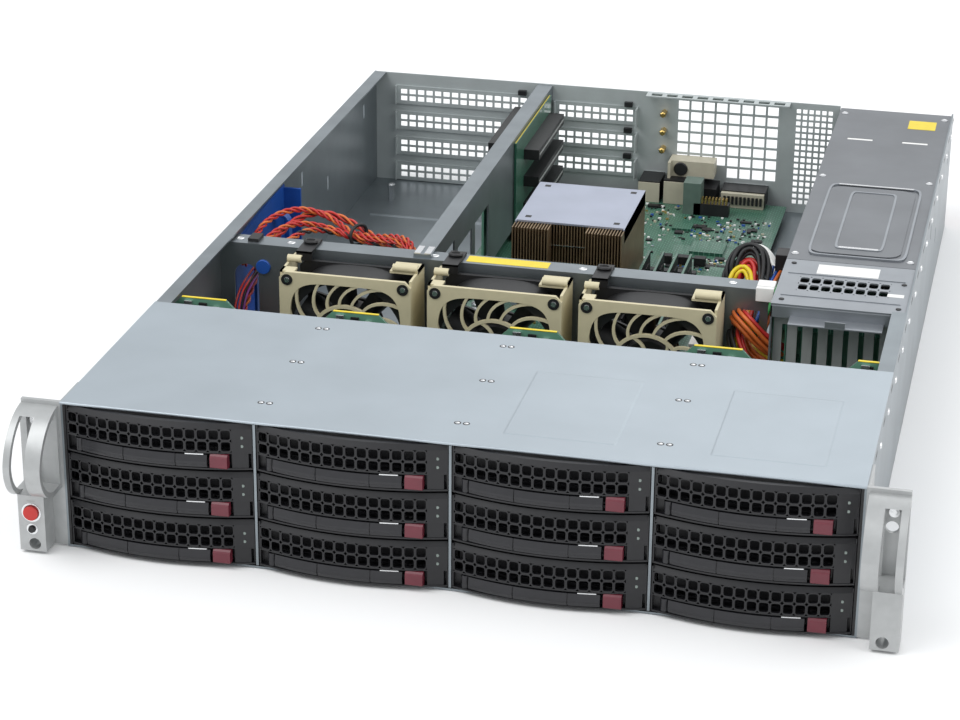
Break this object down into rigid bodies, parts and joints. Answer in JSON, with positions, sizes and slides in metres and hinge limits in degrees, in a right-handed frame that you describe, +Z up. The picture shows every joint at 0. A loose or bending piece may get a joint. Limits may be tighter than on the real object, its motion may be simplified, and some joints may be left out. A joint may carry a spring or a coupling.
{
  "type": "two-unit rack server",
  "caption": "Rack server with its rear cover off: hot-swap drive carriers with levers, lift-out fan modules, sliding power supplies, risers, finned sink and ear handles",
  "frame": {"origin": "middle of the base's underside, half way between the front plane and the rear panel", "axes": "+Y runs from the front plane to the rear, +Z is up, +X is to the right for a person facing the front"},
  "size_m": [0.4826, 0.7001, 0.088],
  "materials": {
    "zinc_steel": "satin zinc-coated sheet",
    "bright_steel": "bright plated",
    "sink_metal": "plain aluminium",
    "supply_case": "plated sheet",
    "board_green": "lacquered circuit board",
    "ear_silver": "satin silver coated",
    "carrier_black": "matt moulded",
    "lever_black": "matt moulded",
    "fan_black": "fine matt moulded",
    "guard_plastic": "matt cream moulded",
    "black_plastic": "fine matt moulded",
    "red_plastic": "smooth moulded",
    "blue_plastic": "matt moulded",
    "wire_jacket": "smooth insulated wire"
  },
  "bodies": {
    "chassis": {"chassis_tub": "zinc_steel", "rear_panel": "zinc_steel", "slot_covers": "bright_steel", "bay_cover": "zinc_steel", "drive_cage": "zinc_steel", "drive_backplane": "board_green", "fan_wall": "zinc_steel", "mainboard": "board_green", "board_connectors": "black_plastic", "memory_modules": "black_plastic", "heat_sink": "sink_metal", "center_brace": "zinc_steel", "riser_cards": "board_green", "supply_cage": "zinc_steel", "supply_cap": "zinc_steel", "power_board": "board_green", "left_ear": "ear_silver", "right_ear": "ear_silver", "wire_harness": "wire_jacket", "cable_guide": "blue_plastic"},
    "carrier_1a": {"drive_carrier_1a": "carrier_black"},
    "lever_1a": {"carrier_lever_1a": "lever_black"},
    "carrier_1b": {"drive_carrier_1b": "carrier_black"},
    "lever_1b": {"carrier_lever_1b": "lever_black"},
    "carrier_1c": {"drive_carrier_1c": "carrier_black"},
    "lever_1c": {"carrier_lever_1c": "lever_black"},
    "carrier_2a": {"drive_carrier_2a": "carrier_black"},
    "lever_2a": {"carrier_lever_2a": "lever_black"},
    "carrier_2b": {"drive_carrier_2b": "carrier_black"},
    "lever_2b": {"carrier_lever_2b": "lever_black"},
    "carrier_2c": {"drive_carrier_2c": "carrier_black"},
    "lever_2c": {"carrier_lever_2c": "lever_black"},
    "carrier_3a": {"drive_carrier_3a": "carrier_black"},
    "lever_3a": {"carrier_lever_3a": "lever_black"},
    "carrier_3b": {"drive_carrier_3b": "carrier_black"},
    "lever_3b": {"carrier_lever_3b": "lever_black"},
    "carrier_3c": {"drive_carrier_3c": "carrier_black"},
    "lever_3c": {"carrier_lever_3c": "lever_black"},
    "carrier_4a": {"drive_carrier_4a": "carrier_black"},
    "lever_4a": {"carrier_lever_4a": "lever_black"},
    "carrier_4b": {"drive_carrier_4b": "carrier_black"},
    "lever_4b": {"carrier_lever_4b": "lever_black"},
    "carrier_4c": {"drive_carrier_4c": "carrier_black"},
    "lever_4c": {"carrier_lever_4c": "lever_black"},
    "fan_module_1": {"fan_housing_1": "guard_plastic", "fan_frame_1": "fan_black"},
    "rotor_1": {"fan_rotor_1": "fan_black"},
    "fan_module_2": {"fan_housing_2": "guard_plastic", "fan_frame_2": "fan_black"},
    "rotor_2": {"fan_rotor_2": "fan_black"},
    "fan_module_3": {"fan_housing_3": "guard_plastic", "fan_frame_3": "fan_black"},
    "rotor_3": {"fan_rotor_3": "fan_black"},
    "supply_1": {"supply_module_1": "supply_case"},
    "latch_1": {"supply_latch_1": "red_plastic"},
    "supply_2": {"supply_module_2": "supply_case"},
    "latch_2": {"supply_latch_2": "red_plastic"},
    "power_button": {"power_button": "red_plastic"},
    "reset_button": {"reset_button": "black_plastic"}
  },
  "joints": [
    {"name": "slide_carrier_1a", "type": "slide", "parent": "chassis", "child": "carrier_1a", "axis": [0, -1, 0], "range_m": [0, 0.17]},
    {"name": "turn_lever_1a", "type": "hinge", "parent": "carrier_1a", "child": "lever_1a", "pos_m": [-0.2079, -0.3238, 0.0071], "axis": [0, 0, -1], "range_deg": [0, 70]},
    {"name": "slide_carrier_1b", "type": "slide", "parent": "chassis", "child": "carrier_1b", "axis": [0, -1, 0], "range_m": [0, 0.17]},
    {"name": "turn_lever_1b", "type": "hinge", "parent": "carrier_1b", "child": "lever_1b", "pos_m": [-0.2079, -0.3238, 0.03563], "axis": [0, 0, -1], "range_deg": [0, 70]},
    {"name": "slide_carrier_1c", "type": "slide", "parent": "chassis", "child": "carrier_1c", "axis": [0, -1, 0], "range_m": [0, 0.17]},
    {"name": "turn_lever_1c", "type": "hinge", "parent": "carrier_1c", "child": "lever_1c", "pos_m": [-0.2079, -0.3238, 0.06417], "axis": [0, 0, -1], "range_deg": [0, 70]},
    {"name": "slide_carrier_2a", "type": "slide", "parent": "chassis", "child": "carrier_2a", "axis": [0, -1, 0], "range_m": [0, 0.17]},
    {"name": "turn_lever_2a", "type": "hinge", "parent": "carrier_2a", "child": "lever_2a", "pos_m": [-0.09963, -0.3238, 0.0071], "axis": [0, 0, -1], "range_deg": [0, 70]},
    {"name": "slide_carrier_2b", "type": "slide", "parent": "chassis", "child": "carrier_2b", "axis": [0, -1, 0], "range_m": [0, 0.17]},
    {"name": "turn_lever_2b", "type": "hinge", "parent": "carrier_2b", "child": "lever_2b", "pos_m": [-0.09963, -0.3238, 0.03563], "axis": [0, 0, -1], "range_deg": [0, 70]},
    {"name": "slide_carrier_2c", "type": "slide", "parent": "chassis", "child": "carrier_2c", "axis": [0, -1, 0], "range_m": [0, 0.17]},
    {"name": "turn_lever_2c", "type": "hinge", "parent": "carrier_2c", "child": "lever_2c", "pos_m": [-0.09963, -0.3238, 0.06417], "axis": [0, 0, -1], "range_deg": [0, 70]},
    {"name": "slide_carrier_3a", "type": "slide", "parent": "chassis", "child": "carrier_3a", "axis": [0, -1, 0], "range_m": [0, 0.17]},
    {"name": "turn_lever_3a", "type": "hinge", "parent": "carrier_3a", "child": "lever_3a", "pos_m": [0.00865, -0.3238, 0.0071], "axis": [0, 0, -1], "range_deg": [0, 70]},
    {"name": "slide_carrier_3b", "type": "slide", "parent": "chassis", "child": "carrier_3b", "axis": [0, -1, 0], "range_m": [0, 0.17]},
    {"name": "turn_lever_3b", "type": "hinge", "parent": "carrier_3b", "child": "lever_3b", "pos_m": [0.00865, -0.3238, 0.03563], "axis": [0, 0, -1], "range_deg": [0, 70]},
    {"name": "slide_carrier_3c", "type": "slide", "parent": "chassis", "child": "carrier_3c", "axis": [0, -1, 0], "range_m": [0, 0.17]},
    {"name": "turn_lever_3c", "type": "hinge", "parent": "carrier_3c", "child": "lever_3c", "pos_m": [0.00865, -0.3238, 0.06417], "axis": [0, 0, -1], "range_deg": [0, 70]},
    {"name": "slide_carrier_4a", "type": "slide", "parent": "chassis", "child": "carrier_4a", "axis": [0, -1, 0], "range_m": [0, 0.17]},
    {"name": "turn_lever_4a", "type": "hinge", "parent": "carrier_4a", "child": "lever_4a", "pos_m": [0.11693, -0.3238, 0.0071], "axis": [0, 0, -1], "range_deg": [0, 70]},
    {"name": "slide_carrier_4b", "type": "slide", "parent": "chassis", "child": "carrier_4b", "axis": [0, -1, 0], "range_m": [0, 0.17]},
    {"name": "turn_lever_4b", "type": "hinge", "parent": "carrier_4b", "child": "lever_4b", "pos_m": [0.11693, -0.3238, 0.03563], "axis": [0, 0, -1], "range_deg": [0, 70]},
    {"name": "slide_carrier_4c", "type": "slide", "parent": "chassis", "child": "carrier_4c", "axis": [0, -1, 0], "range_m": [0, 0.17]},
    {"name": "turn_lever_4c", "type": "hinge", "parent": "carrier_4c", "child": "lever_4c", "pos_m": [0.11693, -0.3238, 0.06417], "axis": [0, 0, -1], "range_deg": [0, 70]},
    {"name": "lift_fan_1", "type": "slide", "parent": "chassis", "child": "fan_module_1", "axis": [0, 0, 1], "range_m": [0, 0.09]},
    {"name": "spin_rotor_1", "type": "hinge", "parent": "fan_module_1", "child": "rotor_1", "pos_m": [-0.1237, -0.0773, 0.0414], "axis": [0, 1, 0], "continuous": true},
    {"name": "lift_fan_2", "type": "slide", "parent": "chassis", "child": "fan_module_2", "axis": [0, 0, 1], "range_m": [0, 0.09]},
    {"name": "spin_rotor_2", "type": "hinge", "parent": "fan_module_2", "child": "rotor_2", "pos_m": [-0.0293, -0.0773, 0.0414], "axis": [0, 1, 0], "continuous": true},
    {"name": "lift_fan_3", "type": "slide", "parent": "chassis", "child": "fan_module_3", "axis": [0, 0, 1], "range_m": [0, 0.09]},
    {"name": "spin_rotor_3", "type": "hinge", "parent": "fan_module_3", "child": "rotor_3", "pos_m": [0.0651, -0.0773, 0.0414], "axis": [0, 1, 0], "continuous": true},
    {"name": "slide_supply_1", "type": "slide", "parent": "chassis", "child": "supply_1", "axis": [0, 1, 0], "range_m": [0, 0.31]},
    {"name": "press_latch_1", "type": "hinge", "parent": "supply_1", "child": "latch_1", "pos_m": [0.2118, 0.3243, 0.0215], "axis": [0, 0, 1], "range_deg": [0, 10], "stiffness_Nm_per_rad": 0.2},
    {"name": "slide_supply_2", "type": "slide", "parent": "chassis", "child": "supply_2", "axis": [0, 1, 0], "range_m": [0, 0.31]},
    {"name": "press_latch_2", "type": "hinge", "parent": "supply_2", "child": "latch_2", "pos_m": [0.2118, 0.3243, 0.0631], "axis": [0, 0, 1], "range_deg": [0, 10], "stiffness_Nm_per_rad": 0.2},
    {"name": "press_power_button", "type": "slide", "parent": "chassis", "child": "power_button", "axis": [0, 1, 0], "range_m": [0, 0.0015], "stiffness_N_per_m": 300},
    {"name": "press_reset_button", "type": "slide", "parent": "chassis", "child": "reset_button", "axis": [0, 1, 0], "range_m": [0, 0.0015], "stiffness_N_per_m": 300}
  ]
}
